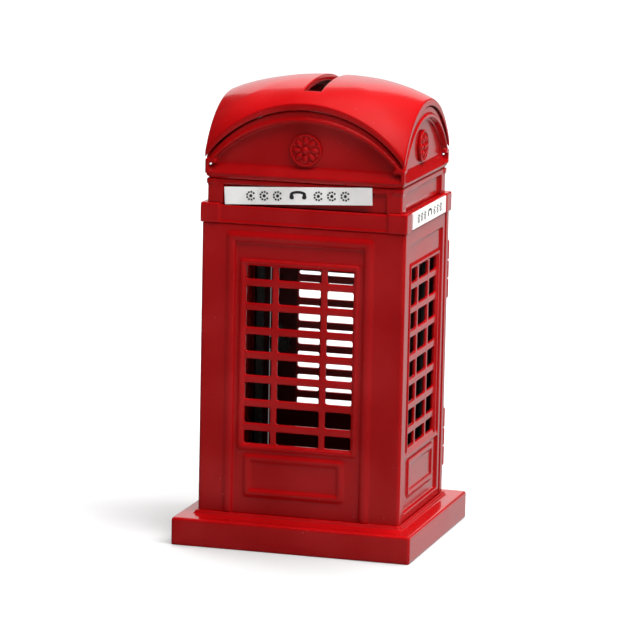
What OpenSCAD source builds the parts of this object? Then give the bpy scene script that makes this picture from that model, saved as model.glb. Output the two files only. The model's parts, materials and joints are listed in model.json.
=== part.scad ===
// A metal money box in the form of a telephone booth: a hollow plinth, four wall castings with open
// glazing bars, a cornice, a neck and a vaulted roof with a coin slot. The back wall holds a hinged
// door with a cam lock. The front faces -Y, up is +Z, and the origin is the centre of the underside.

/* [Overall] */
// Width of the walls, side to side
body_w = 63; // [52:0.1:76]
// Depth of the walls, front to back
body_d = 52; // [43:0.1:63]
// Height of the walls, from the plinth to the cornice
wall_h = 89.1; // [74:0.1:107]
// Thickness of a wall casting
wall_t = 2.2; // [1.8:0.1:2.7]
// Rounding of the upright corners
corner_r = 1.1; // [0.6:0.1:1.6]

/* [Plinth] */
// Height of the plinth
plinth_h = 8.4; // [7:0.1:11]
// How far the plinth stands out past the side walls
plinth_out_x = 5.65; // [4:0.05:8]
// How far the plinth stands out past the front and back walls
plinth_out_y = 8.4; // [6:0.05:11]
// Thickness of the plinth's rim and top
plinth_t = 2.4; // [2:0.1:3]
// Rounding of the plinth's edges
plinth_r = 0.8; // [0.4:0.1:1.2]
// Width of the small bead round the foot of the walls
foot_bead = 0.85; // [0.6:0.05:1.1]
// Thickness of the sheet that closes the plinth from below
cover_t = 0.8; // [0.6:0.1:1]

/* [Glazing] */
// Rows of panes in each window
rows = 8; // [5:1:8]
// Height of a horizontal glazing bar
bar_h = 2.3; // [1.8:0.1:2.6]
// Width of an upright glazing bar
bar_w = 1.9; // [1.5:0.1:2.4]
// Thickness of the glazing bars, front to back
bar_t = 1.2; // [1:0.1:1.4]
// Height of the short panes in the top and bottom rows
end_row_h = 3.9; // [3:0.1:4.5]
// Height of the window sill above the plinth
sill_up = 22.7; // [20:0.1:26]
// Wall between the head of a window and the cornice
head_down = 12.4; // [10:0.1:14.5]
// Width of the outer panes at the front and back
front_pane_w = 8.1; // [6.5:0.1:9]
// Wall beside the front window, from the corner of the booth
front_margin = 14.9; // [13:0.1:17]
// Width of the outer panes at the sides
side_pane_w = 8.2; // [6.5:0.1:8.5]
// Wall beside a side window, from the corner of the booth
side_margin = 10.65; // [10:0.05:12]
// How far the front window and door surround lie left of the middle
door_shift = 0.85; // [0:0.05:1]
// How far the front's lower panel lies left of the window's middle
panel_shift = 0.85; // [0:0.05:1]

/* [Door surround and panels] */
// Width of the wall outside the front door surround
surround_margin = 8.7; // [7.5:0.1:10]
// Wall between the surround and the cornice
surround_down = 2.2; // [1.5:0.1:3.5]
// Width of the surround's bead
surround_w = 3.1; // [2.4:0.1:3.4]
// How far the beads stand out
bead_out = 0.6; // [0.4:0.05:0.8]
// Depth of the door inside the surround
door_step = 0.5; // [0.3:0.05:0.6]
// Width of the bead round a lower panel
panel_bead_w = 2.5; // [2:0.1:2.8]
// Height of a lower panel above the plinth
panel_up = 6.3; // [5:0.1:7]
// Height of a lower panel, over its bead
panel_h = 13.2; // [11:0.1:14]
// How far the front and back castings reach round the corners
lip = 3.8; // [3.6:0.1:4.6]
// Gap at a seam between two castings
seam = 0.15; // [0.1:0.05:0.3]
// How far the side panels lie in from the corners' faces
side_step = 0.3; // [0.2:0.05:0.5]
// Depth of the recess in a side panel
side_recess = 0.7; // [0.5:0.05:0.8]

/* [Cornice, neck and signs] */
// Height of the cornice
cornice_h = 5.6; // [5:0.1:7]
// Width of the cornice's corner caps
cap_w = 6.2; // [5:0.1:7]
// How far the corner caps stand out and up
cap_out = 0.5; // [0.3:0.05:0.7]
// How far the neck lies in from the walls, at the sides
neck_in_x = 1.45; // [1.1:0.05:2.2]
// How far the neck lies in from the walls, front and back
neck_in_y = 0.5; // [0.4:0.05:1]
// Height of the neck
neck_h = 7.8; // [7:0.1:9.5]
// Height of the rail round the top of the neck
neck_rail_h = 1.75; // [1.3:0.05:2.2]
// Width of the neck's corner posts
neck_post = 4.9; // [4:0.1:5.5]
// Depth of the neck's panels
neck_recess = 0.9; // [0.6:0.05:1.1]
// Length of the front and back signs
sign_l = 45.6; // [38:0.1:46]
// Height of the front and back signs
sign_h = 5.2; // [4.4:0.1:5.3]
// Length of the side signs
side_sign_l = 38.6; // [29:0.1:39]
// Height of the side signs
side_sign_h = 4.9; // [4:0.1:5]
// Thickness of a sign plate
sign_t = 0.45; // [0.3:0.05:0.5]
// Tilt of the front sign, which was fixed a little crooked
sign_tilt = 3; // [0:0.1:3.1]

/* [Roof] */
// How far the gables lie in from the walls, at the sides
roof_in_x = 0.7; // [0:0.05:1.2]
// How far the gables stand out past the walls, front and back
roof_out_y = 0.4; // [0:0.05:0.8]
// Height of the moulding between the neck and the gables
band_h = 1.5; // [1:0.05:2]
// Height of the sloping sill under a gable's panel
sill_h = 3; // [2:0.1:3.4]
// Height of a gable's corner, from the moulding to the roof
gable_corner_h = 4.2; // [3.5:0.1:6]
// Rise of the gable arches
arch_rise = 15.95; // [13:0.05:19]
// Thickness of a gable wall
gable_t = 3.6; // [3.4:0.1:4]
// Depth of a gable's panel
gable_recess = 1.9; // [1.4:0.05:2]
// Thickness of the roof, seen as the band round the gable arches
roof_t = 2.1; // [1.6:0.1:2.4]
// Height of the roof's crown above the arches
crown_rise = 5.6; // [3:0.1:7]
// Share of the crown that is creased along the diagonals
crease = 0.3; // [0:0.05:0.6]
// Length of the coin slot
slot_l = 38.4; // [30:0.2:40]
// Width of the coin slot
slot_w = 5.4; // [4.4:0.1:6]
// Radius of a rosette
rosette_r = 4.9; // [4:0.1:5.2]

/* [Back door and lock] */
// Wall on the hinge side of the back door
hinge_stile = 3.2; // [3:0.1:4]
// Wall on the lock side of the back door
lock_stile = 6.6; // [5.6:0.1:7.6]
// Wall above the back door
top_rail = 3.9; // [3.4:0.1:6]
// Wall below the back door
bottom_rail = 3.9; // [3.4:0.1:6]
// Gap round the back door
door_gap = 0.35; // [0.3:0.05:0.45]
// Distance from the door's window to its hinge edge
hinge_side = 8.4; // [7.5:0.1:9.5]
// Distance from the door's window to its free edge
lock_side = 8.7; // [8.6:0.1:9.5]
// Height of the back window's sill above the plinth
back_sill_up = 24.4; // [22:0.1:27]
// Wall between the head of the back window and the cornice
back_head_down = 21.6; // [18:0.1:24]
// How much higher the back window's bars lie than the front's
back_bars_up = 0.9; // [0:0.1:1.2]
// Radius of the hinge pins
pin_r = 0.8; // [0.6:0.05:0.9]
// Radius of the hinge knuckles
knuckle_r = 1.6; // [1.4:0.05:1.7]
// Length of one hinge
hinge_l = 18; // [14:0.5:20]
// Gap between a hinge's knuckles
knuckle_gap = 0.25; // [0.2:0.05:0.4]
// Clearance round a turning pin or plug
running = 0.05; // [0.03:0.01:0.08]
// Radius of the lock's barrel
barrel_r = 2.4; // [2.2:0.1:2.6]
// Radius of the lock's plug
plug_r = 1.5; // [1.3:0.1:1.6]
// Reach of the cam from the lock's axis
cam_l = 6.6; // [6:0.1:6.8]

/* [Fasteners] */
// Radius of the long bolts that clamp the booth together
bolt_r = 1.2; // [1:0.1:1.3]
// Distance from a bolt to the outside of a side wall
bolt_in_x = 5.2; // [5:0.1:5.6]
// Distance from a bolt to the outside of the front or back wall
bolt_in_y = 7.2; // [7:0.1:7.6]
// Clearance round a bolt in a plain hole
bolt_gap = 0.15; // [0.1:0.05:0.2]
// Radius of the screws that hold the plinth's cover
screw_r = 0.9; // [0.7:0.05:1]

/* [Hidden] */
$fn = 48;
e = 0.1; // overlap where two shapes of one casting join
touch = 0.02; // gap between two castings that meet
hw = body_w / 2;
hd = body_d / 2;
enamel = [0.72, 0.03, 0.05];
steel = [0.72, 0.73, 0.75];
plate_white = [0.9, 0.9, 0.88];
wall_z0 = plinth_h + touch;
foot_z = plinth_h + foot_bead + 0.35; // top of the foot bead
wall_z1 = plinth_h + wall_h;
cornice_z0 = wall_z1 + touch;
cornice_z1 = wall_z1 + cornice_h;
neck_z0 = cornice_z1 + touch;
neck_z1 = cornice_z1 + neck_h;
neck_hw = hw - neck_in_x;
neck_hd = hd - neck_in_y;
roof_hw = hw - roof_in_x;
roof_hd = hd + roof_out_y;
gable_z0 = neck_z1 + touch;
gable_z1 = neck_z1 + band_h;
corner_z = gable_z1 + gable_corner_h; // underside of the roof at its corners
spring_z = corner_z + roof_t;
apex_z = spring_z + arch_rise;
window_z0 = plinth_h + sill_up;
window_z1 = wall_z1 - head_down;
pane_h = (window_z1 - window_z0 - 2 * end_row_h - (rows - 1) * bar_h) / (rows - 2);
front_window_w = body_w - 2 * front_margin;
side_window_w = body_d - 2 * side_margin;
side_panel_w = body_d - 2 * (lip + seam);
panel_z0 = plinth_h + panel_up;
panel_z1 = panel_z0 + panel_h;
side_recess_w = side_panel_w - 5.6;
side_recess_z0 = plinth_h + 3.7;
side_recess_z1 = wall_z1 - 4.2;
door_x0 = -hw + lock_stile + door_gap;
door_x1 = hw - hinge_stile - door_gap;
door_z0 = plinth_h + bottom_rail + door_gap;
door_z1 = wall_z1 - top_rail - door_gap;
door_window_x0 = door_x0 + lock_side;
door_window_w = door_x1 - hinge_side - door_window_x0;
back_window_z0 = plinth_h + back_sill_up;
back_window_z1 = wall_z1 - back_head_down;
hinge_x = hw - 1.9;
hinge_y = hd + knuckle_r + 0.15;
hinge_low = plinth_h + 9;
hinge_high = wall_z1 - 9.5 - hinge_l;
back_bead = 1.8; // reach of the bead round the back window
lock_x = door_x0 + (lock_side - back_bead) / 2;
lock_z = (door_z0 + door_z1) / 2;
barrel_y0 = hd - 4.3;
plug_y0 = barrel_y0 - 0.15;
cam_t = 0.9;
bolt_x = hw - bolt_in_x;
bolt_y = hd - bolt_in_y;
bolt_z0 = plinth_h - plinth_t;
bolt_z1 = gable_z0 + 3.6;
lug_r = 2.6;
rosette_z = gable_z1 + sill_h + rosette_r + 0.3;
pillar_in = plinth_t + 2.4;
cover_z = 0.9;

function arc_r(half, rise) = (half * half + rise * rise) / (2 * rise);
function arc_up(t, half, rise) =
    sqrt(max(0, pow(arc_r(half, rise), 2) - t * t)) - arc_r(half, rise) + rise;

// Block centred on the axis, standing on z0, with rounded upright edges
module block(half_x, half_y, z0, z1, r) {
    translate([-half_x + r, -half_y, z0]) cube([2 * (half_x - r), 2 * half_y, z1 - z0]);
    translate([-half_x, -half_y + r, z0]) cube([2 * half_x, 2 * (half_y - r), z1 - z0]);
    for (sx = [-1, 1], sy = [-1, 1])
        translate([sx * (half_x - r), sy * (half_y - r), z0]) cylinder(r = r, h = z1 - z0);
}

// The same block with its top edges rounded as well
module soft_block(half_x, half_y, z0, z1, r) {
    block(half_x, half_y, z0, z1 - r, r);
    translate([-half_x + r, -half_y + r, z0]) cube([2 * (half_x - r), 2 * (half_y - r), z1 - z0]);
    for (sy = [-1, 1])
        translate([-half_x + r, sy * (half_y - r), z1 - r])
            rotate([0, 90, 0]) cylinder(r = r, h = 2 * (half_x - r));
    for (sx = [-1, 1])
        translate([sx * (half_x - r), half_y - r, z1 - r])
            rotate([90, 0, 0]) cylinder(r = r, h = 2 * (half_y - r));
    for (sx = [-1, 1], sy = [-1, 1])
        translate([sx * (half_x - r), sy * (half_y - r), z1 - r]) sphere(r = r);
}

// Box from one corner to another
module box(a, b) {
    translate(a) cube(b - a);
}

module at_bolts() {
    for (sx = [-1, 1], sy = [-1, 1]) translate([sx * bolt_x, sy * bolt_y, 0]) children();
}

// Wall frames: the children are drawn with their face on y = 0, looking along -Y
module at_front() {
    translate([0, -hd, 0]) children();
}

module at_back() {
    translate([0, hd, 0]) rotate([0, 0, 180]) children();
}

module at_side(s) {
    translate([s * hw, 0, 0]) rotate([0, 0, s * 90]) children();
}

// Half-round bead round a rectangle, standing out of the face at depth y
module bead_ring(x0, x1, z0, z1, w, y, open_foot = false) {
    r = (w * w / 4 + bead_out * bead_out) / (2 * bead_out);
    low = open_foot ? z0 : z0 + w / 2;
    xs = [x0 + w / 2, x1 - w / 2];
    intersection() {
        box([x0, y - bead_out - e, z0], [x1, y + 0.3, z1]);
        translate([0, y + r - bead_out, 0]) union() {
            for (x = xs) translate([x, 0, low]) cylinder(r = r, h = z1 - w / 2 - low);
            for (x = xs) translate([x, 0, z1 - w / 2]) sphere(r = r);
            translate([xs[0], 0, z1 - w / 2]) rotate([0, 90, 0]) cylinder(r = r, h = xs[1] - xs[0]);
            if (!open_foot) {
                for (x = xs) translate([x, 0, low]) sphere(r = r);
                translate([xs[0], 0, low]) rotate([0, 90, 0]) cylinder(r = r, h = xs[1] - xs[0]);
            }
        }
    }
}

// The openings of one window: three columns and the rows, through a wall whose face is at y = 0
module panes(x0, w, side_w) {
    columns = [[x0, side_w], [x0 + side_w + bar_w, w - 2 * (side_w + bar_w)],
        [x0 + w - side_w, side_w]];
    for (c = columns, i = [0 : rows - 1]) {
        end_row = i == 0 || i == rows - 1;
        z = i == 0 ? window_z0 : window_z0 + end_row_h + bar_h + (i - 1) * (pane_h + bar_h);
        translate([c[0], -1, z]) cube([c[1], wall_t + 2, end_row ? end_row_h : pane_h]);
    }
}

// Pocket behind a window that leaves its bars thinner than the wall
module bar_pocket(x0, w, face, z0 = window_z0, z1 = window_z1) {
    box([x0 - 0.6, face + bar_t, z0 - 0.6], [x0 + w + 0.6, wall_t + 1, z1 + 0.6]);
}

// The plate of the front or back wall with its returns round the corners and the tongues that back
// the side panels
module corner_casting() {
    intersection() {
        block(hw, hd, wall_z0, wall_z1, corner_r);
        union() {
            box([-hw, -hd, wall_z0], [hw, -hd + wall_t, wall_z1]);
            for (s = [-1, 1])
                box([s > 0 ? hw - wall_t : -hw, -hd, wall_z0],
                    [s > 0 ? hw : -hw + wall_t, -hd + lip, wall_z1]);
        }
    }
    for (s = [0, 1]) mirror([s, 0, 0]) {
        box([hw - wall_t - 1.2, -hd + wall_t - e, wall_z0 + 2.4],
            [hw - wall_t + e, -hd + lip, wall_z1 - 2.4]);
        box([hw - wall_t - 1.2, -hd + lip - e, wall_z0 + 2.4],
            [hw - wall_t - touch, -hd + lip + 2.4, wall_z1 - 2.4]);
    }
}

module front_panel() {
    half = hw - surround_margin;
    top = wall_z1 - surround_down;
    x0 = -front_window_w / 2 - door_shift;
    x1 = x0 + front_window_w;
    inner = half - surround_w + 0.25;
    color(enamel) difference() {
        union() {
            difference() {
                union() {
                    corner_casting();
                    at_front() bead_ring(-half - door_shift, half - door_shift, foot_z + touch, top,
                        surround_w, 0, true);
                }
                at_front() box([-inner - door_shift, -1, wall_z0 - 1],
                    [inner - door_shift, door_step, top - surround_w + 0.25]);
            }
            at_front() {
                bead_ring(x0 - 2, x1 + 2, window_z0 - 2, window_z1 + 2, 1.6, door_step);
                bead_ring(x0 + 0.8 - panel_shift, x1 - 0.8 - panel_shift, panel_z0, panel_z1,
                    panel_bead_w, door_step);
            }
        }
        at_front() {
            panes(x0, front_window_w, front_pane_w);
            bar_pocket(x0, front_window_w, door_step);
        }
    }
}

// A side panel, drawn as a wall at the front
module side_panel() {
    x0 = -side_window_w / 2;
    face = side_step + side_recess;
    half = side_recess_w / 2;
    difference() {
        union() {
            difference() {
                box([-side_panel_w / 2, side_step, wall_z0], [side_panel_w / 2, wall_t, wall_z1]);
                box([-half, -1, side_recess_z0], [half, face, side_recess_z1]);
            }
            bead_ring(x0 - 2, -x0 + 2, window_z0 - 1.1, window_z1 + 2, 1.6, face, true);
            bead_ring(x0 + 0.4, -x0 - 0.4, panel_z0 + 0.9, panel_z1 - 0.2, panel_bead_w, face);
            translate([-half - e, 0, 0]) rotate([90, 0, 90]) linear_extrude(2 * (half + e))
                polygon([[face + 0.3, window_z0 - 0.3], [face, window_z0 - 0.3],
                    [side_step + 0.1, window_z0 - 1.9], [side_step + 0.1, window_z0 - 2.5],
                    [face, window_z0 - 2.8], [face + 0.3, window_z0 - 2.8]]);
        }
        panes(x0, side_window_w, side_pane_w);
        bar_pocket(x0, side_window_w, face - 0.2);
    }
}

module left_side_panel() {
    color(enamel) at_side(-1) side_panel();
}

module right_side_panel() {
    color(enamel) at_side(1) side_panel();
}

// The lengths of a hinge that belong to the frame (outer two) or the door (middle one)
module knuckle(z0, z1) {
    translate([hinge_x, hinge_y, z0]) cylinder(r = knuckle_r, h = z1 - z0);
}

module hinge_bores() {
    for (z = [hinge_low, hinge_high])
        translate([hinge_x, hinge_y, z - 1]) cylinder(r = pin_r + running, h = hinge_l + 2);
}

module back_frame() {
    third = hinge_l / 3;
    color(enamel) difference() {
        union() {
            mirror([0, 1, 0]) corner_casting();
            for (z = [hinge_low, hinge_high], k = [0, 2]) {
                z0 = z + k * third;
                knuckle(z0, z0 + third);
                box([hinge_x - 1.1, hd - e, z0], [hinge_x + 1.1, hinge_y, z0 + third]);
            }
            box([-hw + wall_t + 0.3, plug_y0 + 0.3, lock_z - 5],
                [door_x0 - door_gap, hd - wall_t + e, lock_z + 5]);
        }
        box([door_x0 - door_gap, hd - wall_t - 0.6, door_z0 - door_gap],
            [door_x1 + door_gap, hd + 1, door_z1 + door_gap]);
        hinge_bores();
    }
}

module back_door() {
    third = hinge_l / 3;
    bx0 = -(door_window_x0 + door_window_w);
    color(enamel) difference() {
        union() {
            box([door_x0, hd - wall_t, door_z0], [door_x1, hd, door_z1]);
            at_back() {
                bead_ring(bx0 - back_bead, bx0 + door_window_w + back_bead,
                    back_window_z0 - back_bead, back_window_z1 + back_bead, 1.6, 0);
                bead_ring(bx0 + 0.8, bx0 + door_window_w - 0.8, panel_z0 + 1.6, panel_z1 - 0.2,
                    panel_bead_w, 0);
            }
            for (z = [hinge_low, hinge_high]) {
                z0 = z + third + knuckle_gap;
                z1 = z + 2 * third - knuckle_gap;
                knuckle(z0, z1);
                box([door_x1 - 4.5, hd - e, z0], [door_x1, hd + 1.3, z1]);
                box([door_x1 - e, hd + 0.25, z0], [hinge_x, hd + 1.3, z1]);
            }
        }
        at_back() {
            intersection() {
                translate([0, 0, back_bars_up]) panes(bx0, door_window_w, front_pane_w - 1);
                box([bx0 - 1, -2, back_window_z0], [bx0 + door_window_w + 1, wall_t + 2, back_window_z1]);
            }
            bar_pocket(bx0, door_window_w, 0.3, back_window_z0, back_window_z1);
        }
        hinge_bores();
        translate([lock_x, hd + 1, lock_z]) rotate([90, 0, 0])
            cylinder(r = barrel_r + bolt_gap, h = wall_t + 2);
    }
}

module hinge_pins() {
    color(steel) for (z = [hinge_low, hinge_high]) translate([hinge_x, hinge_y, z]) {
        translate([0, 0, -0.3]) cylinder(r = pin_r, h = hinge_l + 0.5);
        translate([0, 0, hinge_l + touch]) cylinder(r = pin_r + 0.45, h = 0.6);
        translate([0, 0, -0.6]) cylinder(r = pin_r + 0.2, h = 0.6 - touch);
    }
}

// Solid of revolution about the lock's axis, from y0 to y1
module lock_round(r, y0, y1) {
    translate([lock_x, y1, lock_z]) rotate([90, 0, 0]) cylinder(r = r, h = y1 - y0);
}

module lock_barrel() {
    color(steel) difference() {
        union() {
            lock_round(barrel_r, barrel_y0, hd + 0.3);
            lock_round(barrel_r + 0.8, hd + touch, hd + 0.9);
        }
        lock_round(plug_r + running, barrel_y0 - 1, hd + 2);
    }
}

module lock_nut() {
    color(steel) difference() {
        translate([lock_x, hd - wall_t - touch, lock_z]) rotate([90, 30, 0])
            cylinder(r = barrel_r + 1.2, h = 1.4, $fn = 6);
        lock_round(barrel_r + touch, hd - wall_t - 3, hd);
    }
}

module lock_plug() {
    color(steel) difference() {
        union() {
            lock_round(plug_r, plug_y0, hd + 1);
            lock_round(plug_r - 0.6, plug_y0 - cam_t, plug_y0 + e);
        }
        box([lock_x - 0.25, hd - 1.5, lock_z - 1], [lock_x + 0.25, hd + 2, lock_z + 1]);
    }
}

module lock_cam() {
    y1 = plug_y0 - touch;
    color(steel) difference() {
        union() {
            lock_round(1.7, y1 - cam_t, y1);
            box([lock_x - 1.4, y1 - cam_t, lock_z], [lock_x + 1.4, y1, lock_z + cam_l - 1.4]);
            translate([0, 0, cam_l - 1.4]) lock_round(1.4, y1 - cam_t, y1);
        }
        lock_round(plug_r - 0.6 + touch, y1 - 3, y1 + 1);
    }
}

module cam_screw() {
    y1 = plug_y0 - cam_t - 2 * touch;
    color(steel) difference() {
        lock_round(1.4, y1 - 0.5, y1);
        box([lock_x - 1, y1 - 1, lock_z - 0.15], [lock_x + 1, y1 - 0.25, lock_z + 0.15]);
    }
}

module at_cover_screws() {
    for (sx = [-1, 1], sy = [-1, 1])
        translate([sx * (hw + plinth_out_x - pillar_in), sy * (hd + plinth_out_y - pillar_in), 0])
            children();
}

module plinth() {
    half_x = hw + plinth_out_x;
    half_y = hd + plinth_out_y;
    top = plinth_h - plinth_t;
    color(enamel) difference() {
        union() {
            soft_block(half_x, half_y, 0, plinth_h, plinth_r);
            soft_block(hw + foot_bead, hd + foot_bead, plinth_h - e, foot_z, foot_bead - 0.1);
        }
        difference() {
            block(half_x - plinth_t, half_y - plinth_t, -1, top, 0.5);
            at_cover_screws() translate([0, 0, cover_z + cover_t + touch])
                cylinder(r = 2.2, h = plinth_h);
        }
        difference() {
            block(hw + touch, hd + touch, plinth_h, foot_z + 1, corner_r);
            block(hw - wall_t - 0.1, hd - wall_t - 0.1, plinth_h - 1, plinth_h + 1.6, 0.5);
        }
        block(hw - wall_t - 1.3, hd - wall_t - 1.3, plinth_h, plinth_h + 4, 0.5);
        at_bolts() translate([0, 0, -1]) cylinder(r = bolt_r + bolt_gap, h = plinth_h + 4);
        at_cover_screws() cylinder(r = screw_r + touch, h = 5.2);
    }
}

module plinth_cover() {
    half_x = hw + plinth_out_x - plinth_t - 0.1;
    half_y = hd + plinth_out_y - plinth_t - 0.1;
    color(enamel) difference() {
        block(half_x, half_y, cover_z, cover_z + cover_t, 0.5);
        at_cover_screws() cylinder(r = screw_r + bolt_gap, h = 5);
    }
}

module cover_screws() {
    head = 0.6;
    color(steel) at_cover_screws() difference() {
        union() {
            translate([0, 0, cover_z - touch - head]) cylinder(r = 1.7, h = head);
            translate([0, 0, cover_z - touch - e]) cylinder(r = screw_r, h = 4);
        }
        translate([-1.1, -0.2, cover_z - head - 1]) cube([2.2, 0.4, 1.3]);
    }
}

module clamp_bolts() {
    head = 1.3;
    color(steel) at_bolts() difference() {
        union() {
            translate([0, 0, bolt_z0 - touch - head]) cylinder(r = 2.3, h = head);
            translate([0, 0, bolt_z0 - touch - e]) cylinder(r = bolt_r, h = bolt_z1 - bolt_z0);
        }
        translate([-1.6, -0.25, bolt_z0 - head - 1]) cube([3.2, 0.5, 1.5]);
    }
}

// Ring with straight inner walls, its bolt lugs and the bolt holes
module lugged_ring(inner_x, inner_y, z0, z1) {
    difference() {
        children();
        difference() {
            block(inner_x, inner_y, z0 - 5, z1 + 1, 0.5);
            at_bolts() translate([0, 0, z0]) cylinder(r = lug_r, h = z1 - z0);
        }
        at_bolts() translate([0, 0, z0 - 5]) cylinder(r = bolt_r + bolt_gap, h = z1 - z0 + 10);
    }
}

module cornice() {
    cap_z = cornice_z1 + cap_out;
    lip_z = wall_z1 - 2;
    color(enamel) lugged_ring(hw - 4.2, hd - 4.2, cornice_z0, cornice_z1) {
        union() {
            soft_block(hw, hd, cornice_z0, cornice_z1, 0.5);
            block(hw + 0.25, hd + 0.25, cornice_z0, cornice_z0 + 0.45, corner_r);
            block(hw - wall_t - 0.1, hd - wall_t - 0.1, lip_z, cornice_z0 + e, 0.5);
            for (sx = [0, 1], sy = [0, 1]) mirror([sx, 0, 0]) mirror([0, sy, 0]) difference() {
                translate([hw - cap_w / 2 + cap_out, hd - cap_w / 2 + cap_out, 0])
                    soft_block(cap_w / 2, cap_w / 2, cornice_z0, cap_z, 0.6);
                box([0, 0, cornice_z1], [neck_hw + 0.1, neck_hd + 0.1, cap_z + 1]);
                box([0, 0, wall_z1 - 1], [hw - 4.2, hd - 4.2, cap_z + 1]);
            }
        }
    }
}

module neck() {
    rail_z = neck_z1 - neck_rail_h;
    deep = neck_recess;
    color(enamel) lugged_ring(neck_hw - 2.4, neck_hd - 2.4, neck_z0, neck_z1) {
        union() {
            difference() {
                block(neck_hw, neck_hd, neck_z0, neck_z1, 0.6);
                for (s = [0, 1]) mirror([0, s, 0])
                    box([-neck_hw + neck_post, neck_hd - deep, neck_z0 - 1],
                        [neck_hw - neck_post, neck_hd + 1, rail_z]);
                for (s = [0, 1]) mirror([s, 0, 0])
                    box([neck_hw - deep, -neck_hd + neck_post, neck_z0 - 1],
                        [neck_hw + 1, neck_hd - neck_post, rail_z]);
            }
            for (sx = [0, 1], sy = [0, 1]) mirror([sx, 0, 0]) mirror([0, sy, 0])
                translate([neck_hw - 1.2, neck_hd - 1.2, 0])
                    soft_block(1.5, 1.5, rail_z, neck_z1, 0.4);
        }
    }
}

// Upright slab with an arched head, its face on y = 0 and its centre on x = 0
module arch(half, foot, spring, rise, depth) {
    r = arc_r(half, rise);
    box([-half, 0, foot], [half, depth, spring + e]);
    intersection() {
        translate([0, 0, spring + rise - r]) rotate([-90, 0, 0]) cylinder(r = r, h = depth, $fn = 96);
        box([-half, 0, spring], [half, depth, spring + rise + 1]);
    }
}

// One gable wall, its face on y = 0
module gable(half) {
    shoulder = corner_z + 0.1;
    cove = [1.6, 2.4]; // how far in the cove ends, at the foot of the arch and at its crown
    panel = [2.6, 3.6]; // how far in the panel begins, at the foot and at the crown
    difference() {
        arch(half - 0.7, gable_z1 - e, shoulder, arch_rise - 0.1 - touch, gable_t);
        difference() {
            translate([0, -1, 0])
                arch(half - 0.7, gable_z1, shoulder, arch_rise - 0.1 + e, 1.6);
            translate([0, -2, 0])
                arch(half - cove[0], gable_z1 - 1, shoulder, arch_rise - cove[1], 4);
            for (s = [-1, 1])
                translate([s * half - (s > 0 ? cove[0] : 0), -2, gable_z1 - 1])
                    cube([cove[0], 4, 3]);
        }
        difference() {
            translate([0, -1, 0])
                arch(half - panel[0], gable_z1, shoulder, arch_rise - panel[1], gable_recess + 1);
            translate([-half, 0, 0]) rotate([90, 0, 90]) linear_extrude(2 * half)
                polygon([[0.25, gable_z1 - 1], [gable_recess + 1, gable_z1 - 1],
                    [gable_recess + 1, gable_z1 + sill_h], [gable_recess, gable_z1 + sill_h],
                    [0.25, gable_z1 + 0.35]]);
        }
    }
}

// What is cut away above a gable's sloping sill, which runs on across the corner posts
module sill_cut(half) {
    translate([-half + 1.2, 0, 0]) rotate([90, 0, 90]) linear_extrude(2 * (half - 1.2))
        polygon([[-1, gable_z1 + 0.35], [0.25, gable_z1 + 0.35], [gable_recess, gable_z1 + sill_h],
            [-1, gable_z1 + sill_h]]);
}

module at_gables() {
    translate([0, -roof_hd, 0]) children(0);
    translate([0, roof_hd, 0]) rotate([0, 0, 180]) children(0);
    for (s = [-1, 1]) translate([s * roof_hw, 0, 0]) rotate([0, 0, s * 90]) children(1);
}

module gable_ring() {
    color(enamel) difference() {
        lugged_ring(roof_hw - gable_t, roof_hd - gable_t, gable_z0, gable_z1 + 4.4) {
            union() {
                block(neck_hw - 0.1, neck_hd - 0.1, gable_z0, gable_z0 + 0.6, 0.6);
                block(roof_hw - 0.35, roof_hd - 0.35, gable_z0 + 0.5, gable_z1, 0.6);
                for (sx = [-1, 1], sy = [-1, 1])
                    translate([sx * (roof_hw - 1.8), sy * (roof_hd - 1.8), 0])
                        block(1.8, 1.8, gable_z1 - e, corner_z - touch, 0.5);
                for (sx = [-1, 1], sy = [-1, 1])
                    translate([sx * (roof_hw - gable_t), sy * (roof_hd - gable_t), gable_z0])
                        block(2.2, 2.2, 0, 3, 0.5);
                at_gables() {
                    gable(roof_hw);
                    gable(roof_hd);
                }
            }
        }
        at_gables() {
            sill_cut(roof_hw);
            sill_cut(roof_hd);
        }
    }
}

// Height of the roof's outer face, and of its underside over the gables and inside them
function roof_top(x, y) =
    let (u = arc_up(x, roof_hw, arch_rise) / arch_rise,
        v = arc_up(y, roof_hd, arch_rise) / arch_rise)
    spring_z + arch_rise * (u + v - u * v)
        + crown_rise * (crease * min(u, v) + (1 - crease) * u * v);

function shoulder_z(t, half) =
    abs(t) > half - 0.7 ? corner_z :
        corner_z + 0.1 + 2 * touch + arc_up(t, half - 0.7, arch_rise - 0.1);

function roof_under(x, y) =
    let (over_y = abs(y) > roof_hd - gable_t - 0.1, over_x = abs(x) > roof_hw - gable_t - 0.1)
    over_x && over_y ? max(shoulder_z(x, roof_hw), shoulder_z(y, roof_hd)) :
    over_y ? shoulder_z(x, roof_hw) :
    over_x ? shoulder_z(y, roof_hd) : roof_top(x, y) - roof_t - 0.4;

function stations(half, n) =
    let (inner = half - gable_t - 0.15, steps = [for (i = [-n : n]) inner * i / n])
    concat([-half, -half + 0.72, -inner - 1.9, -inner - 0.06], steps,
        [inner + 0.06, inner + 1.9, half - 0.72, half]);

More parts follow.
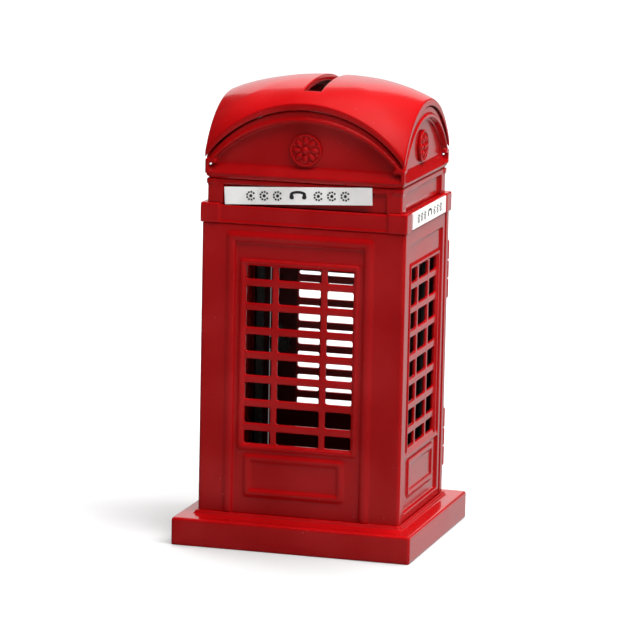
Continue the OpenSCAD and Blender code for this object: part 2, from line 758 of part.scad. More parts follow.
module roof_vault() {
    xs = stations(roof_hw, 15);
    ys = stations(roof_hd, 13);
    nx = len(xs);
    ny = len(ys);
    half_count = nx * ny;
    points = concat([for (x = xs, y = ys) [x, y, roof_top(x, y)]],
        [for (x = xs, y = ys) [x, y, roof_under(x, y)]]);
    top = [for (i = [0 : nx - 2], j = [0 : ny - 2])
        [i * ny + j, i * ny + j + 1, (i + 1) * ny + j + 1, (i + 1) * ny + j]];
    rim = concat([for (i = [0 : nx - 1]) i * ny], [for (j = [1 : ny - 1]) (nx - 1) * ny + j],
        [for (i = [nx - 2 : -1 : 0]) i * ny + ny - 1], [for (j = [ny - 2 : -1 : 1]) j]);
    sides = [for (k = [0 : len(rim) - 1])
        let (a = rim[k], b = rim[(k + 1) % len(rim)]) [a, b, b + half_count, a + half_count]];
    triangles = concat([for (q = concat(top, sides)) [q[0], q[1], q[2]]],
        [for (q = concat(top, sides)) [q[0], q[2], q[3]]],
        [for (q = top) [q[0] + half_count, q[2] + half_count, q[1] + half_count]],
        [for (q = top) [q[0] + half_count, q[3] + half_count, q[2] + half_count]]);
    color(enamel) difference() {
        polyhedron(points, triangles);
        block(slot_w / 2, slot_l / 2, apex_z - 10, apex_z + crown_rise + 5, 0.5);
    }
}

// A round flower of eight petals, its back on y = 0
module rosette() {
    difference() {
        union() {
            rotate([90, 0, 0]) cylinder(r = rosette_r, h = 0.5);
            rotate([90, 0, 0]) difference() {
                cylinder(r = rosette_r, h = 0.9);
                translate([0, 0, -1]) cylinder(r = rosette_r - 0.6, h = 3);
            }
            for (a = [0 : 45 : 315]) rotate([0, a, 0])
                translate([rosette_r * 0.56, 0, 0]) sphere(r = rosette_r * 0.24);
            sphere(r = rosette_r * 0.25);
        }
        translate([-rosette_r - 1, 0, -rosette_r - 1])
            cube([2 * rosette_r + 2, 3, 2 * rosette_r + 2]);
    }
}

module front_rosette() {
    color(enamel) translate([0, -roof_hd + gable_recess - touch, rosette_z]) rosette();
}

module back_rosette() {
    color(enamel) rotate([0, 0, 180])
        translate([0, -roof_hd + gable_recess - touch, rosette_z]) rosette();
}

module left_rosette() {
    color(enamel) rotate([0, 0, -90])
        translate([0, -roof_hw + gable_recess - touch, rosette_z]) rosette();
}

module right_rosette() {
    color(enamel) rotate([0, 0, 90])
        translate([0, -roof_hw + gable_recess - touch, rosette_z]) rosette();
}

// A sign plate, its back on y = 0
module sign(l, h) {
    translate([-l / 2, -sign_t, -h / 2]) cube([l, sign_t, h]);
}

module front_sign() {
    z = (neck_z0 + neck_z1) / 2;
    color(plate_white) translate([-1.8, -neck_hd - touch, z]) rotate([0, -sign_tilt, 0])
        sign(sign_l, sign_h);
}

module back_sign() {
    z = (neck_z0 + neck_z1) / 2;
    color(plate_white) rotate([0, 0, 180]) translate([0, -neck_hd - touch, z]) sign(sign_l, sign_h);
}

module side_sign() {
    z = (cornice_z0 + 0.45 + cornice_z1) / 2;
    translate([0, -touch, z]) sign(side_sign_l, side_sign_h);
}

module left_sign() {
    color(plate_white) at_side(-1) side_sign();
}

module right_sign() {
    color(plate_white) at_side(1) side_sign();
}

plinth();
plinth_cover();
cover_screws();
front_panel();
left_side_panel();
right_side_panel();
back_frame();
back_door();
hinge_pins();
lock_barrel();
lock_nut();
lock_plug();
lock_cam();
cam_screw();
cornice();
neck();
gable_ring();
roof_vault();
front_rosette();
back_rosette();
left_rosette();
right_rosette();
front_sign();
back_sign();
left_sign();
right_sign();
clamp_bolts();
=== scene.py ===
# Enamelled telephone booth money box: soft-edged castings, a vaulted roof, glossy paint and signs.
import json
import math
import bmesh
import bpy
from mathutils import Matrix, Vector, noise


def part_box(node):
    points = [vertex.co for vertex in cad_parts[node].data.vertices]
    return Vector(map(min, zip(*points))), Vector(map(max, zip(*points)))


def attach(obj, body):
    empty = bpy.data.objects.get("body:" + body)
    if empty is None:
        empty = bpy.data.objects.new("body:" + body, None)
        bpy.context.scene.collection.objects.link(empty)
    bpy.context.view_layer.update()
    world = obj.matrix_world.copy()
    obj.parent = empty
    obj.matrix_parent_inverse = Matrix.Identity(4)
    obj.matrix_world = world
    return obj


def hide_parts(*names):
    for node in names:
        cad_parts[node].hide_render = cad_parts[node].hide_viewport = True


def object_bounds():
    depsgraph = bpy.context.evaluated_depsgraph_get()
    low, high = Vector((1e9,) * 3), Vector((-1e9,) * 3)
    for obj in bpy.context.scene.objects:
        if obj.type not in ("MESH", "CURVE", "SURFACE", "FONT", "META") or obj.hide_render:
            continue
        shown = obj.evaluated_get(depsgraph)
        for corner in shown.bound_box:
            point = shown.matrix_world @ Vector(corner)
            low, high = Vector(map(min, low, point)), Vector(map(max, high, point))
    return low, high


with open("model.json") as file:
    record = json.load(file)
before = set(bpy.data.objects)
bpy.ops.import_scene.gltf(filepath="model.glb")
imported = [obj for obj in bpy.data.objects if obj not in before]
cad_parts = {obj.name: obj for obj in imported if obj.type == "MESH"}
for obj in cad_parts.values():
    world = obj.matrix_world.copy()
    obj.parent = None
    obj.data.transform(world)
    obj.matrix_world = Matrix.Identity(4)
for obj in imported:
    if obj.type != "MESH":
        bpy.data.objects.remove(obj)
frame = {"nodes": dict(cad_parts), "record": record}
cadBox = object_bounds()
record = frame["record"]
mm = 0.001

bodyOf = {}
for bodyName, nodeNames in record["behaviour"]["bodies"].items():
    for nodeName in nodeNames:
        bodyOf[nodeName] = bodyName
slotOf = {part["node"]: part["material_slot"] for part in record["subparts"]}
wallLow, wallHigh = (Vector(corner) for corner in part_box("front_panel"))
neckHigh = Vector(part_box("neck")[1])


# ---- shader helpers ----

def newGroup(name, inputs, outputs, kind="ShaderNodeTree"):
    tree = bpy.data.node_groups.new(name, kind)
    for label, socketKind, value in inputs:
        socket = tree.interface.new_socket(label, in_out="INPUT", socket_type=socketKind)
        if value is not None:
            socket.default_value = value
    for label, socketKind in outputs:
        tree.interface.new_socket(label, in_out="OUTPUT", socket_type=socketKind)
    return tree


def addNode(tree, kind, **settings):
    made = tree.nodes.new(kind)
    for key, value in settings.items():
        setattr(made, key, value)
    return made


def plug(tree, socket, value):
    # links a socket, or sets a plain value on it
    if isinstance(value, bpy.types.NodeSocket):
        tree.links.new(value, socket)
    else:
        socket.default_value = value


def mathNode(tree, operation, *values):
    made = addNode(tree, "ShaderNodeMath", operation=operation)
    for index, value in enumerate(values):
        plug(tree, made.inputs[index], value)
    return made.outputs[0]


def noiseNode(tree, place, scale, detail):
    made = addNode(tree, "ShaderNodeTexNoise")
    plug(tree, made.inputs["Vector"], place)
    plug(tree, made.inputs["Scale"], scale)
    made.inputs["Detail"].default_value = detail
    return made.outputs["Fac"]


def mapRange(tree, value, low, high, newLow, newHigh):
    made = addNode(tree, "ShaderNodeMapRange", interpolation_type="SMOOTHSTEP")
    for label, setting in (("Value", value), ("From Min", low), ("From Max", high),
                           ("To Min", newLow), ("To Max", newHigh)):
        plug(tree, made.inputs[label], setting)
    return made.outputs["Result"]


def mixColor(tree, factor, first, second):
    made = addNode(tree, "ShaderNodeMix", data_type="RGBA")
    plug(tree, made.inputs["Factor"], factor)
    plug(tree, made.inputs["A"], first)
    plug(tree, made.inputs["B"], second)
    return made.outputs["Result"]


def bumpNormal(tree, height, strength, distance):
    made = addNode(tree, "ShaderNodeBump")
    made.inputs["Strength"].default_value = strength
    made.inputs["Distance"].default_value = distance
    plug(tree, made.inputs["Height"], height)
    return made.outputs["Normal"]


def newMaterial(name):
    material = bpy.data.materials.new(name)
    material.use_nodes = True
    return material, material.node_tree, material.node_tree.nodes["Principled BSDF"]


# ---- shader groups ----

def paintRippleGroup():
    # slow waves, orange peel and slow patches of sprayed paint or plating
    tree = newGroup("paintRipple", [
        ("Wave Scale", "NodeSocketFloat", 110.0),
        ("Peel Scale", "NodeSocketFloat", 900.0),
        ("Peel Share", "NodeSocketFloat", 0.18),
        ("Patch Scale", "NodeSocketFloat", 40.0),
    ], [("Height", "NodeSocketFloat"), ("Patch", "NodeSocketFloat")])
    start = addNode(tree, "NodeGroupInput")
    end = addNode(tree, "NodeGroupOutput")
    place = addNode(tree, "ShaderNodeTexCoord").outputs["Object"]
    waves = noiseNode(tree, place, start.outputs["Wave Scale"], 2.0)
    peel = noiseNode(tree, place, start.outputs["Peel Scale"], 1.0)
    patch = noiseNode(tree, place, start.outputs["Patch Scale"], 3.0)
    peelHeight = mathNode(tree, "MULTIPLY", peel, start.outputs["Peel Share"])
    plug(tree, end.inputs["Height"], mathNode(tree, "ADD", waves, peelHeight))
    plug(tree, end.inputs["Patch"], mapRange(tree, patch, 0.3, 0.7, 0.0, 1.0))
    return tree


def specksGroup():
    # sparse fine specks: dust caught in the paint, and tiny nicks
    tree = newGroup("specks", [
        ("Scale", "NodeSocketFloat", 420.0),
        ("Amount", "NodeSocketFloat", 0.12),
    ], [("Mask", "NodeSocketFloat")])
    start = addNode(tree, "NodeGroupInput")
    end = addNode(tree, "NodeGroupOutput")
    place = addNode(tree, "ShaderNodeTexCoord").outputs["Object"]
    cells = addNode(tree, "ShaderNodeTexVoronoi")
    plug(tree, cells.inputs["Vector"], place)
    plug(tree, cells.inputs["Scale"], start.outputs["Scale"])
    where = noiseNode(tree, place, 55.0, 2.0)
    near = mapRange(tree, cells.outputs["Distance"], 0.0, start.outputs["Amount"], 1.0, 0.0)
    clusters = mapRange(tree, where, 0.52, 0.66, 0.0, 1.0)
    plug(tree, end.inputs["Mask"], mathNode(tree, "MULTIPLY", near, clusters))
    return tree


def hollowGroup():
    # painted shade mask: 1 within the walls, where shade falls, 0 outside them
    tree = newGroup("hollow", [
        ("Half Width", "NodeSocketFloat", 0.03),
        ("Half Depth", "NodeSocketFloat", 0.025),
        ("Floor", "NodeSocketFloat", 0.0),
        ("Ceiling", "NodeSocketFloat", 0.1),
        ("Fade", "NodeSocketFloat", 0.0004),
    ], [("Mask", "NodeSocketFloat")])
    start = addNode(tree, "NodeGroupInput")
    end = addNode(tree, "NodeGroupOutput")
    split = addNode(tree, "ShaderNodeSeparateXYZ")
    plug(tree, split.inputs[0], addNode(tree, "ShaderNodeTexCoord").outputs["Object"])
    fade = start.outputs["Fade"]
    masks = []
    for axis, limit in (("X", "Half Width"), ("Y", "Half Depth")):
        reach = mathNode(tree, "ABSOLUTE", split.outputs[axis])
        depth = mathNode(tree, "SUBTRACT", start.outputs[limit], reach)
        masks.append(mapRange(tree, depth, 0.0, fade, 0.0, 1.0))
    above = mathNode(tree, "SUBTRACT", split.outputs["Z"], start.outputs["Floor"])
    below = mathNode(tree, "SUBTRACT", start.outputs["Ceiling"], split.outputs["Z"])
    masks += [mapRange(tree, gap, 0.0, fade, 0.0, 1.0) for gap in (above, below)]
    level = mathNode(tree, "MULTIPLY", masks[0], masks[1])
    height = mathNode(tree, "MULTIPLY", masks[2], masks[3])
    plug(tree, end.inputs["Mask"], mathNode(tree, "MULTIPLY", level, height))
    return tree


groups = {"ripple": paintRippleGroup(), "specks": specksGroup(), "hollow": hollowGroup()}


def useGroup(tree, name, **values):
    made = addNode(tree, "ShaderNodeGroup", node_tree=groups[name])
    for label, value in values.items():
        made.inputs[label.replace("_", " ")].default_value = value
    return made.outputs


# ---- materials ----

enamel = {
    "thin": (0.27, 0.0015, 0.002, 1.0),
    "thick": (0.34, 0.002, 0.003, 1.0),
    "speck": (0.16, 0.005, 0.005, 1.0),
    # painted shade for the booth's interior faces
    "inside": (0.05, 0.002, 0.002, 1.0),
    "roughness": (0.17, 0.27),
    "underRoofShadeColour": (0.010, 0.0015, 0.0015, 1.0),  # painted shade under the roof
    "underRoofShadePatch": (0.03, 0.002, 0.002, 1.0),
    "insideRoughness": 0.8,
    "coat": 0.5,
    "coatRoughness": 0.08,
    "ripple": 0.05 * mm,
    "wallSkin": (2.6 * mm, 1.3 * mm),  # how far in a wall stays red before the painted shade starts, at the sides and the front
    "beadOut": 0.6 * mm,
    "upperSkin": (1.9 * mm, 1.8 * mm),  # the same for the neck and gables
}


def enamelMaterial():
    material, tree, shader = newMaterial("redEnamel")
    ripple = useGroup(tree, "ripple")
    specks = useGroup(tree, "specks")["Mask"]
    # masks for the painted shade: within the walls, and within the neck and gables
    walls = useGroup(tree, "hollow", Half_Width=wallHigh.x - enamel["wallSkin"][0],
                     Half_Depth=-wallLow.y - enamel["beadOut"] - enamel["wallSkin"][1],
                     Floor=wallLow.z - 2 * mm, Ceiling=wallHigh.z)["Mask"]
    head = useGroup(tree, "hollow", Half_Width=neckHigh.x - enamel["upperSkin"][0],
                    Half_Depth=neckHigh.y - enamel["upperSkin"][1],
                    Floor=wallHigh.z - 1 * mm, Ceiling=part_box("roof_vault")[0][2])["Mask"]
    hollow = mathNode(tree, "MAXIMUM", walls, head)
    paint = mixColor(tree, ripple["Patch"], enamel["thin"], enamel["thick"])
    marked = mixColor(tree, mathNode(tree, "MULTIPLY", specks, 0.6), paint, enamel["speck"])
    plug(tree, shader.inputs["Base Color"], mixColor(tree, hollow, marked, enamel["inside"]))
    gloss = mapRange(tree, ripple["Patch"], 0.0, 1.0, *enamel["roughness"])
    dulled = mathNode(tree, "ADD", gloss, mathNode(tree, "MULTIPLY", specks, 0.2))
    inner = mathNode(tree, "MULTIPLY", hollow, enamel["insideRoughness"])
    plug(tree, shader.inputs["Roughness"], mathNode(tree, "MAXIMUM", dulled, inner))
    plug(tree, shader.inputs["Normal"], bumpNormal(tree, ripple["Height"], 0.5, enamel["ripple"]))
    outer = mathNode(tree, "SUBTRACT", 1.0, hollow)
    plug(tree, shader.inputs["Coat Weight"], mathNode(tree, "MULTIPLY", outer, enamel["coat"]))
    shader.inputs["Coat Roughness"].default_value = enamel["coatRoughness"]
    return material


# painted shade for the roof's underside, with patches in it
def underRoofShadeMaterial():
    material, tree, shader = newMaterial("underRoofShade")
    ripple = useGroup(tree, "ripple")
    plug(tree, shader.inputs["Base Color"],
         mixColor(tree, ripple["Patch"], enamel["underRoofShadeColour"], enamel["underRoofShadePatch"]))
    shader.inputs["Roughness"].default_value = enamel["insideRoughness"]
    plug(tree, shader.inputs["Normal"], bumpNormal(tree, ripple["Height"], 0.5, enamel["ripple"]))
    return material


steel = {
    "dark": (0.34, 0.34, 0.35, 1.0),
    "light": (0.62, 0.62, 0.64, 1.0),
    "shadedInside": (0.03, 0.03, 0.03, 1.0),  # painted shade on the lengths within the booth
    "roughness": (0.28, 0.45),
    "shadedInsideRoughness": 0.8,
    "rim": 2 * mm,  # the painted shade stops this far in from the back, so plating there stays bright
}


def steelMaterial():
    material, tree, shader = newMaterial("zincPlatedSteel")
    ripple = useGroup(tree, "ripple", Wave_Scale=700.0, Patch_Scale=300.0)
    specks = useGroup(tree, "specks", Scale=900.0)["Mask"]
    # where the painted shade goes within the booth; there the steel is not metallic either
    inside = useGroup(tree, "hollow", Half_Width=wallHigh.x, Half_Depth=neckHigh.y - steel["rim"],
                      Floor=wallLow.z, Ceiling=cadBox[1][2])["Mask"]
    plating = mixColor(tree, ripple["Patch"], steel["dark"], steel["light"])
    marked = mixColor(tree, specks, plating, steel["dark"])
    plug(tree, shader.inputs["Base Color"], mixColor(tree, inside, marked, steel["shadedInside"]))
    outer = mathNode(tree, "SUBTRACT", 1.0, inside)
    plug(tree, shader.inputs["Metallic"], outer)
    plug(tree, shader.inputs["Specular IOR Level"], mathNode(tree, "MULTIPLY", outer, 0.5))
    gloss = mapRange(tree, ripple["Patch"], 0.0, 1.0, *steel["roughness"])
    shadedInside = mathNode(tree, "MULTIPLY", inside, steel["shadedInsideRoughness"])
    plug(tree, shader.inputs["Roughness"], mathNode(tree, "MAXIMUM", gloss, shadedInside))
    plug(tree, shader.inputs["Normal"], bumpNormal(tree, ripple["Height"], 0.4, 0.02 * mm))
    return material


plate = {
    "shaded": (0.66, 0.64, 0.63, 1.0),
    "clean": (0.80, 0.79, 0.78, 1.0),
    "speck": (0.35, 0.33, 0.32, 1.0),
    "roughness": (0.36, 0.5),
    "ink": (0.012, 0.012, 0.014, 1.0),
    "thinInk": (0.03, 0.03, 0.033, 1.0),
    "inkRoughness": (0.35, 0.5),
}


def plateMaterial():
    material, tree, shader = newMaterial("whitePlate")
    ripple = useGroup(tree, "ripple", Wave_Scale=260.0, Patch_Scale=90.0)
    specks = useGroup(tree, "specks", Scale=700.0)["Mask"]
    white = mixColor(tree, ripple["Patch"], plate["shaded"], plate["clean"])
    marked = mixColor(tree, mathNode(tree, "MULTIPLY", specks, 0.4), white, plate["speck"])
    plug(tree, shader.inputs["Base Color"], marked)
    gloss = mapRange(tree, ripple["Patch"], 0.0, 1.0, *plate["roughness"])
    plug(tree, shader.inputs["Roughness"], gloss)
    plug(tree, shader.inputs["Normal"], bumpNormal(tree, ripple["Height"], 0.3, 0.02 * mm))
    return material


def inkMaterial():
    material, tree, shader = newMaterial("blackInk")
    ripple = useGroup(tree, "ripple", Wave_Scale=600.0, Patch_Scale=400.0)
    plug(tree, shader.inputs["Base Color"],
         mixColor(tree, ripple["Patch"], plate["ink"], plate["thinInk"]))
    gloss = mapRange(tree, ripple["Patch"], 0.0, 1.0, *plate["inkRoughness"])
    plug(tree, shader.inputs["Roughness"], gloss)
    return material


finishes = {"enamel": enamelMaterial(), "steel": steelMaterial(), "sign_plate": plateMaterial(),
            "inside": underRoofShadeMaterial(), "ink": inkMaterial()}
print("materials made")


# ---- piece helpers ----

def newObject(name, mesh):
    piece = bpy.data.objects.new(name, mesh)
    bpy.context.collection.objects.link(piece)
    return piece


def plainMesh(piece, name):
    # applies every modifier: a new plain mesh, with the working object removed
    ready = piece.evaluated_get(bpy.context.evaluated_depsgraph_get())
    mesh = bpy.data.meshes.new_from_object(ready)
    mesh.name = name
    bpy.data.objects.remove(piece)
    return mesh


def finishPiece(name, mesh, node, replaced=()):
    piece = newObject(name, mesh)
    for face in mesh.polygons:
        face.use_smooth = True
    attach(piece, bodyOf[node])
    if replaced:
        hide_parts(*replaced)
    return piece


def setInputs(modifier, values):
    for item in modifier.node_group.interface.items_tree:
        if item.item_type == "SOCKET" and item.in_out == "INPUT" and item.name in values:
            modifier[item.identifier] = values[item.name]


def growMesh(name, tree, values):
    # runs a Geometry Nodes tree on an empty mesh and returns its result as a plain mesh
    seedObject = newObject(name + "Seed", bpy.data.meshes.new(name + "Seed"))
    modifier = seedObject.modifiers.new(name, "NODES")
    modifier.node_group = tree
    setInputs(modifier, values)
    return plainMesh(seedObject, name)


# ---- soft castings ----

casting = {
    "cell": 0.27 * mm,  # the finest detail that thick paint leaves
    "fairing": 4,
    "keep": 0.36,  # share of the faces that is kept, most of them on the edges
    "lump": 0.05 * mm,
    "lumpScale": 420.0,
}


def mergedCopy(node):
    shape = bmesh.new()
    shape.from_mesh(frame["nodes"][node].data)
    bmesh.ops.remove_doubles(shape, verts=shape.verts, dist=0.5e-6)
    mesh = bpy.data.meshes.new(node + "Cast")
    shape.to_mesh(mesh)
    shape.free()
    return newObject(node + "Work", mesh)


def softCasting(node, cell=None, keep=None):
    piece = mergedCopy(node)
    remesh = piece.modifiers.new("paintFilm", "REMESH")
    remesh.mode = "VOXEL"
    remesh.voxel_size = cell or casting["cell"]
    fair = piece.modifiers.new("fair", "SMOOTH")
    fair.factor = 0.5
    fair.iterations = casting["fairing"]
    thin = piece.modifiers.new("thin", "DECIMATE")
    thin.ratio = keep or casting["keep"]
    mesh = plainMesh(piece, node + "Cast")
    mesh.materials.clear()
    mesh.materials.append(finishes["enamel"])
    return mesh


def lumpyFoot(mesh, low, high):
    # small runs and drops of paint along the bead round the foot of the walls
    for vertex in mesh.vertices:
        if low < vertex.co.z < high:
            rise = noise.noise(vertex.co * casting["lumpScale"]) - 0.1
            vertex.co.z += casting["lump"] * 2 * max(rise, -0.2)


castNodes = {
    "plinth": {"cell": 0.33 * mm},
    "front_panel": {},
    "left_side_panel": {},
    "right_side_panel": {},
    "back_frame": {},
    "back_door": {},
    "cornice": {},
    "neck": {},
    "gable_ring": {"keep": 0.45},
}
for node, settings in castNodes.items():
    mesh = softCasting(node, **settings)
    if node == "plinth":
        lumpyFoot(mesh, wallLow.z + 0.3 * mm, wallLow.z + 2 * mm)
    finishPiece(node + "Cast", mesh, node, (node,))
    print("cast", node, len(mesh.polygons))


# ---- geometry node helpers ----

def newTree(name, inputs):
    tree = newGroup(name, inputs, [("Geometry", "NodeSocketGeometry")], "GeometryNodeTree")
    return tree, addNode(tree, "NodeGroupInput").outputs, addNode(tree, "NodeGroupOutput")


def geoNode(tree, kind, settings=None, **values):
    made = addNode(tree, "GeometryNode" + kind, **(settings or {}))
    for label, value in values.items():
        plug(tree, made.inputs[label.replace("_", " ")], value)
    return made.outputs[0]


def joined(tree, *pieces):
    made = addNode(tree, "GeometryNodeJoinGeometry")
    for piece in pieces:
        tree.links.new(piece, made.inputs[0])
    return made.outputs[0]


def vectorOf(tree, x=0.0, y=0.0, z=0.0):
    made = addNode(tree, "ShaderNodeCombineXYZ")
    for index, value in enumerate((x, y, z)):
        plug(tree, made.inputs[index], value)
    return made.outputs[0]


def closeTree(tree, end, geometry, finish):
    real = geoNode(tree, "RealizeInstances", Geometry=geometry)
    painted = addNode(tree, "GeometryNodeSetMaterial")
    plug(tree, painted.inputs["Geometry"], real)
    painted.inputs["Material"].default_value = finishes[finish]
    plug(tree, end.inputs[0], painted.outputs[0])


# ---- roof vault ----

roofLow, roofHigh = (Vector(corner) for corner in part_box("roof_vault"))
mergeGap = 0.01 * mm
rimWidth = 1.5 * mm  # the roof's underside takes the painted shade this far in from its outline
roofThickness = 2.1 * mm
archRise = 15.95 * mm
roof = {
    "Half Width": roofHigh.x,
    "Half Depth": roofHigh.y,
    "Corner Height": roofLow.z,
    "Thickness": roofThickness,
    "Arch Rise": archRise,
    "Crown Rise": roofHigh.z - roofLow.z - roofThickness - archRise,
    "Crease Share": 0.3,
    "Crease Blend": 0.08,
    "Slot Width": 5.4 * mm,
    "Slot Length": 38.4 * mm,
    "Cells": 66,  # from the middle to the edge
    "Slot Cells Across": 6,
    "Slot Cells Along": 46,
}


def roofAxis(tree, sizes, way, half, slotHalf, slotCells):
    # place along one axis, with even cells over the slot and from there to the edge, and how far
    # up its arch that place is, 0 to 1
    cells = sizes["Cells"]
    share = mathNode(tree, "DIVIDE", slotCells, cells)
    far = mathNode(tree, "ABSOLUTE", way)
    inner = mathNode(tree, "MULTIPLY", slotHalf,
                     mathNode(tree, "MINIMUM", mathNode(tree, "DIVIDE", far, share), 1.0))
    past = mathNode(tree, "MAXIMUM", mathNode(tree, "SUBTRACT", far, share), 0.0)
    spread = mathNode(tree, "DIVIDE", mathNode(tree, "SUBTRACT", half, slotHalf),
                      mathNode(tree, "SUBTRACT", 1.0, share))
    reach = mathNode(tree, "ADD", inner, mathNode(tree, "MULTIPLY", past, spread))
    rise = sizes["Arch Rise"]
    halfSquared = mathNode(tree, "MULTIPLY", half, half)
    riseSquared = mathNode(tree, "MULTIPLY", rise, rise)
    radius = mathNode(tree, "DIVIDE", mathNode(tree, "ADD", halfSquared, riseSquared),
                      mathNode(tree, "MULTIPLY", rise, 2.0))
    under = mathNode(tree, "SUBTRACT", mathNode(tree, "MULTIPLY", radius, radius),
                     mathNode(tree, "MULTIPLY", reach, reach))
    drop = mathNode(tree, "SUBTRACT", mathNode(tree, "SQRT", under), radius)
    height = mathNode(tree, "ADD", drop, rise)
    up = mathNode(tree, "MAXIMUM", mathNode(tree, "DIVIDE", height, rise), 0.0)
    return mathNode(tree, "MULTIPLY", mathNode(tree, "SIGN", way), reach), up


def roofTree():
    whole = ("Cells", "Slot Cells Across", "Slot Cells Along")
    tree, sizes, end = newTree("roofVault", [
        (label, "NodeSocketInt" if label in whole else "NodeSocketFloat", value)
        for label, value in roof.items()])
    count = mathNode(tree, "ADD", mathNode(tree, "MULTIPLY", sizes["Cells"], 2.0), 1.0)
    sheet = geoNode(tree, "MeshGrid", Size_X=2.0, Size_Y=2.0, Vertices_X=count, Vertices_Y=count)
    split = addNode(tree, "ShaderNodeSeparateXYZ")
    plug(tree, split.inputs[0], geoNode(tree, "InputPosition"))
    slotX = mathNode(tree, "MULTIPLY", sizes["Slot Width"], 0.5)
    slotY = mathNode(tree, "MULTIPLY", sizes["Slot Length"], 0.5)
    x, u = roofAxis(tree, sizes, split.outputs["X"], sizes["Half Width"], slotX,
                    sizes["Slot Cells Across"])
    y, v = roofAxis(tree, sizes, split.outputs["Y"], sizes["Half Depth"], slotY,
                    sizes["Slot Cells Along"])
    both = mathNode(tree, "MULTIPLY", u, v)
    arches = mathNode(tree, "SUBTRACT", mathNode(tree, "ADD", u, v), both)
    creased = mathNode(tree, "SMOOTH_MIN", u, v, sizes["Crease Blend"])
    smoothShare = mathNode(tree, "SUBTRACT", 1.0, sizes["Crease Share"])
    crown = mathNode(tree, "ADD", mathNode(tree, "MULTIPLY", creased, sizes["Crease Share"]),
                     mathNode(tree, "MULTIPLY", both, smoothShare))
    height = mathNode(tree, "ADD", mathNode(tree, "MULTIPLY", arches, sizes["Arch Rise"]),
                      mathNode(tree, "MULTIPLY", crown, sizes["Crown Rise"]))
    base = mathNode(tree, "ADD", height, sizes["Corner Height"])
    vault = geoNode(tree, "SetPosition", Geometry=sheet, Position=vectorOf(tree, x, y, base))
    middle = addNode(tree, "ShaderNodeSeparateXYZ")
    plug(tree, middle.inputs[0], geoNode(tree, "InputPosition"))
    overX = mathNode(tree, "LESS_THAN", mathNode(tree, "ABSOLUTE", middle.outputs["X"]), slotX)
    overY = mathNode(tree, "LESS_THAN", mathNode(tree, "ABSOLUTE", middle.outputs["Y"]), slotY)
    slotted = geoNode(tree, "DeleteGeometry", {"domain": "FACE"}, Geometry=vault,
                      Selection=mathNode(tree, "MULTIPLY", overX, overY))
    raised = geoNode(tree, "ExtrudeMesh", Mesh=slotted, Offset=vectorOf(tree, z=sizes["Thickness"]),
                     Offset_Scale=1.0, Individual=False)
    underside = geoNode(tree, "FlipFaces", Mesh=slotted)
    shell = geoNode(tree, "MergeByDistance", Geometry=joined(tree, raised, underside),
                    Distance=mergeGap)
    closeTree(tree, end, shell, "enamel")
    return tree


def roundEdges(mesh, name, width, segments=3, angle=35.0):
    piece = newObject(name + "Work", mesh)
    bevel = piece.modifiers.new("softEdges", "BEVEL")
    bevel.width = width
    bevel.segments = segments
    bevel.limit_method = "ANGLE"
    bevel.angle_limit = math.radians(angle)
    bevel.harden_normals = False
    return plainMesh(piece, name)


def makeRoof():
    sheet = growMesh("roofVaultSheet", roofTree(), roof)
    mesh = roundEdges(sheet, "roofVaultCast", 0.3 * mm)
    mesh.materials.append(finishes["inside"])
    # underside faces get the painted shade material
    for face in mesh.polygons:
        reach = max(abs(face.center.x) - roofHigh.x, abs(face.center.y) - roofHigh.y)
        if reach < -rimWidth and face.normal.z < 0.2:
            face.material_index = 1
    finishPiece("roofVaultCast", mesh, "roof_vault", ("roof_vault",))
    print("roof made", len(mesh.polygons))


makeRoof()


# ---- rosettes ----

rosette = {
    "Radius": 4.9 * mm,
    "Petals": 8,
    "Petal Length": 2.0 * mm,
    "Petal Width": 1.25 * mm,
    "Relief": 0.95 * mm,
    "Disc": 0.5 * mm,
    "Rim": 0.38 * mm,
    "Hub": 1.25 * mm,
    "Petal Ring": 0.55,  # shares of the radius
    "Bead Ring": 0.78,
}
rosetteFilm = {"cell": 0.11 * mm, "fairing": 5, "keep": 0.5, "proud": 0.28 * mm}


